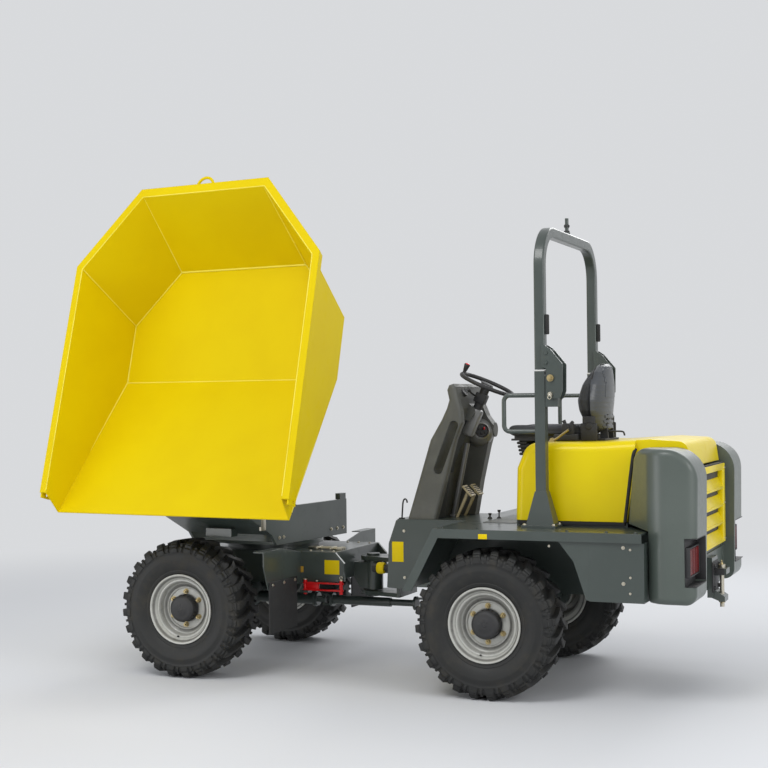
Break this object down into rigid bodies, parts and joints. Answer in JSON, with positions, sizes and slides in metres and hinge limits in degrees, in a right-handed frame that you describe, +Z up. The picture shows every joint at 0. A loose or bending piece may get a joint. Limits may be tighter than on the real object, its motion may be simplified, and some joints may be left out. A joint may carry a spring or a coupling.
{
  "type": "articulated site dumper",
  "caption": "Wheeled site dumper with a centre pivot, a swivelling front-tipping skip, a rear engine under a hinged hood, a driver's seat and a fold-down roll bar.",
  "frame": {"origin": "on the ground under the middle of the box that holds the machine as it stands, with its skip swung left and tipped", "axes": "+X forward, +Y to the machine's left, +Z up"},
  "size_m": [3.9685, 2.1917, 3.0914],
  "materials": {
    "skip_yellow": "satin",
    "hood_yellow": "gloss",
    "body_grey": "satin",
    "body_grey_cast": "satin",
    "safety_red": "satin",
    "lamp_red": "gloss",
    "seat_vinyl": "matt",
    "black_plastic": "matt",
    "dash_plastic": "satin",
    "rubber_black": "matt",
    "pedal_metal": "satin",
    "chrome_rod": "polished",
    "zinc_steel": "zinc plated",
    "engine_iron": "matt",
    "rim_silver": "satin",
    "tyre_rubber": "matt"
  },
  "bodies": {
    "rear_frame": {"rear_frame": "body_grey", "rear_axle": "body_grey", "articulation_pin": "zinc_steel", "deck": "body_grey", "side_panels": "body_grey", "engine": "engine_iron", "counterweight": "body_grey_cast", "rear_grille": "hood_yellow", "tail_lamps": "lamp_red", "tow_hitch": "body_grey", "tow_pin": "zinc_steel", "rops_posts": "body_grey", "rops_pins": "zinc_steel", "grab_rails": "body_grey", "dash": "dash_plastic", "steering_column": "black_plastic", "pedals": "pedal_metal"},
    "front_frame": {"front_frame": "body_grey", "front_axle": "body_grey", "slew_ring": "body_grey", "mudguards": "body_grey", "mud_flaps": "rubber_black"},
    "console": {"swivel_console": "body_grey"},
    "skip": {"skip": "skip_yellow"},
    "tip_barrel": {"tip_cylinder_barrel": "body_grey"},
    "tip_rod": {"tip_cylinder_rod": "chrome_rod"},
    "steer_barrel": {"steer_cylinder_barrel": "body_grey"},
    "steer_rod": {"steer_cylinder_rod": "chrome_rod"},
    "propshaft_front": {"propshaft_front": "body_grey"},
    "propshaft_rear": {"propshaft_rear": "body_grey"},
    "steering_wheel": {"steering_wheel": "black_plastic"},
    "hood": {"hood": "hood_yellow", "seat_base": "black_plastic", "seat_cushion": "seat_vinyl", "seat_back": "seat_vinyl"},
    "rops_hoop": {"rops_hoop": "body_grey"},
    "lock_bar": {"lock_bar": "safety_red"},
    "wheel_front_left": {"wheel_front_left": "rim_silver", "tyre_front_left": "tyre_rubber"},
    "wheel_front_right": {"wheel_front_right": "rim_silver", "tyre_front_right": "tyre_rubber"},
    "wheel_rear_left": {"wheel_rear_left": "rim_silver", "tyre_rear_left": "tyre_rubber"},
    "wheel_rear_right": {"wheel_rear_right": "rim_silver", "tyre_rear_right": "tyre_rubber"}
  },
  "joints": [
    {"name": "spin_front_left", "type": "hinge", "parent": "front_frame", "child": "wheel_front_left", "pos_m": [1.196, 0.479, 0.4225], "axis": [0, 1, 0], "continuous": true},
    {"name": "spin_front_right", "type": "hinge", "parent": "front_frame", "child": "wheel_front_right", "pos_m": [1.196, -0.951, 0.4225], "axis": [0, 1, 0], "continuous": true},
    {"name": "spin_rear_left", "type": "hinge", "parent": "rear_frame", "child": "wheel_rear_left", "pos_m": [-0.769, 0.479, 0.4225], "axis": [0, 1, 0], "continuous": true},
    {"name": "spin_rear_right", "type": "hinge", "parent": "rear_frame", "child": "wheel_rear_right", "pos_m": [-0.769, -0.951, 0.4225], "axis": [0, 1, 0], "continuous": true},
    {"name": "articulation", "type": "hinge", "parent": "rear_frame", "child": "front_frame", "pos_m": [0.261, -0.236, 0.56], "axis": [0, 0, -1], "range_deg": [-33, 33]},
    {"name": "skip_swivel", "type": "hinge", "parent": "front_frame", "child": "console", "pos_m": [0.981, -0.236, 0.795], "axis": [0, 0, 1], "range_deg": [-175, 5]},
    {"name": "skip_tip", "type": "hinge", "parent": "console", "child": "skip", "pos_m": [1.05508, 0.61077, 1.25], "axis": [-0.9962, 0.0872, 0], "range_deg": [-75.5, 0]},
    {"name": "tip_barrel_swing", "type": "hinge", "parent": "console", "child": "tip_barrel", "pos_m": [0.97664, -0.28581, 0.87], "axis": [-0.9962, 0.0872, 0], "range_deg": [-1, 28.01]},
    {"name": "tip_rod_slide", "type": "slide", "parent": "tip_barrel", "child": "tip_rod", "axis": [0.0637, 0.7276, 0.683], "range_m": [-0.2274, 0.005]},
    {"name": "steer_barrel_swing", "type": "hinge", "parent": "rear_frame", "child": "steer_barrel", "pos_m": [-0.049, -0.411, 0.59], "axis": [0, 0, -1], "range_deg": [-20.14, 20.14]},
    {"name": "steer_rod_slide", "type": "slide", "parent": "steer_barrel", "child": "steer_rod", "axis": [0.9923, -0.124, 0], "range_m": [-0.125, 0.125]},
    {"name": "propshaft_rear_bend", "type": "hinge", "parent": "rear_frame", "child": "propshaft_rear", "pos_m": [-0.084, -0.236, 0.402], "axis": [0, 0, -1], "range_deg": [-17.5, 17.5]},
    {"name": "propshaft_front_bend", "type": "hinge", "parent": "front_frame", "child": "propshaft_front", "pos_m": [0.606, -0.236, 0.402], "axis": [0, 0, -1], "range_deg": [-17.5, 17.5]},
    {"name": "steering_wheel_turn", "type": "hinge", "parent": "rear_frame", "child": "steering_wheel", "pos_m": [-0.522, -0.236, 1.785], "axis": [0.4067, 0, -0.9135], "range_deg": [-665, 665]},
    {"name": "hood_open", "type": "hinge", "parent": "rear_frame", "child": "hood", "pos_m": [-1.839, -0.236, 1.33], "axis": [0, 1, 0], "range_deg": [-50, 0]},
    {"name": "rops_fold", "type": "hinge", "parent": "rear_frame", "child": "rops_hoop", "pos_m": [-1.113, -0.236, 1.808], "axis": [0, -1, 0], "range_deg": [0, 105]},
    {"name": "lock_bar_swing", "type": "hinge", "parent": "front_frame", "child": "lock_bar", "pos_m": [0.569, 0.135, 0.515], "axis": [0, 0, -1], "range_deg": [0, 60]}
  ],
  "couplings": [
    {"joint": "tip_barrel_swing", "follows": "skip_tip", "ratio": -0.3578},
    {"joint": "tip_rod_slide", "follows": "skip_tip", "m_per_rad": 0.1688},
    {"joint": "steer_barrel_swing", "follows": "articulation", "ratio": 0.58},
    {"joint": "steer_rod_slide", "follows": "articulation", "m_per_rad": -0.21},
    {"joint": "propshaft_rear_bend", "follows": "articulation", "ratio": 0.5},
    {"joint": "propshaft_front_bend", "follows": "articulation", "ratio": -0.5},
    {"joint": "steering_wheel_turn", "follows": "articulation", "ratio": 20}
  ]
}
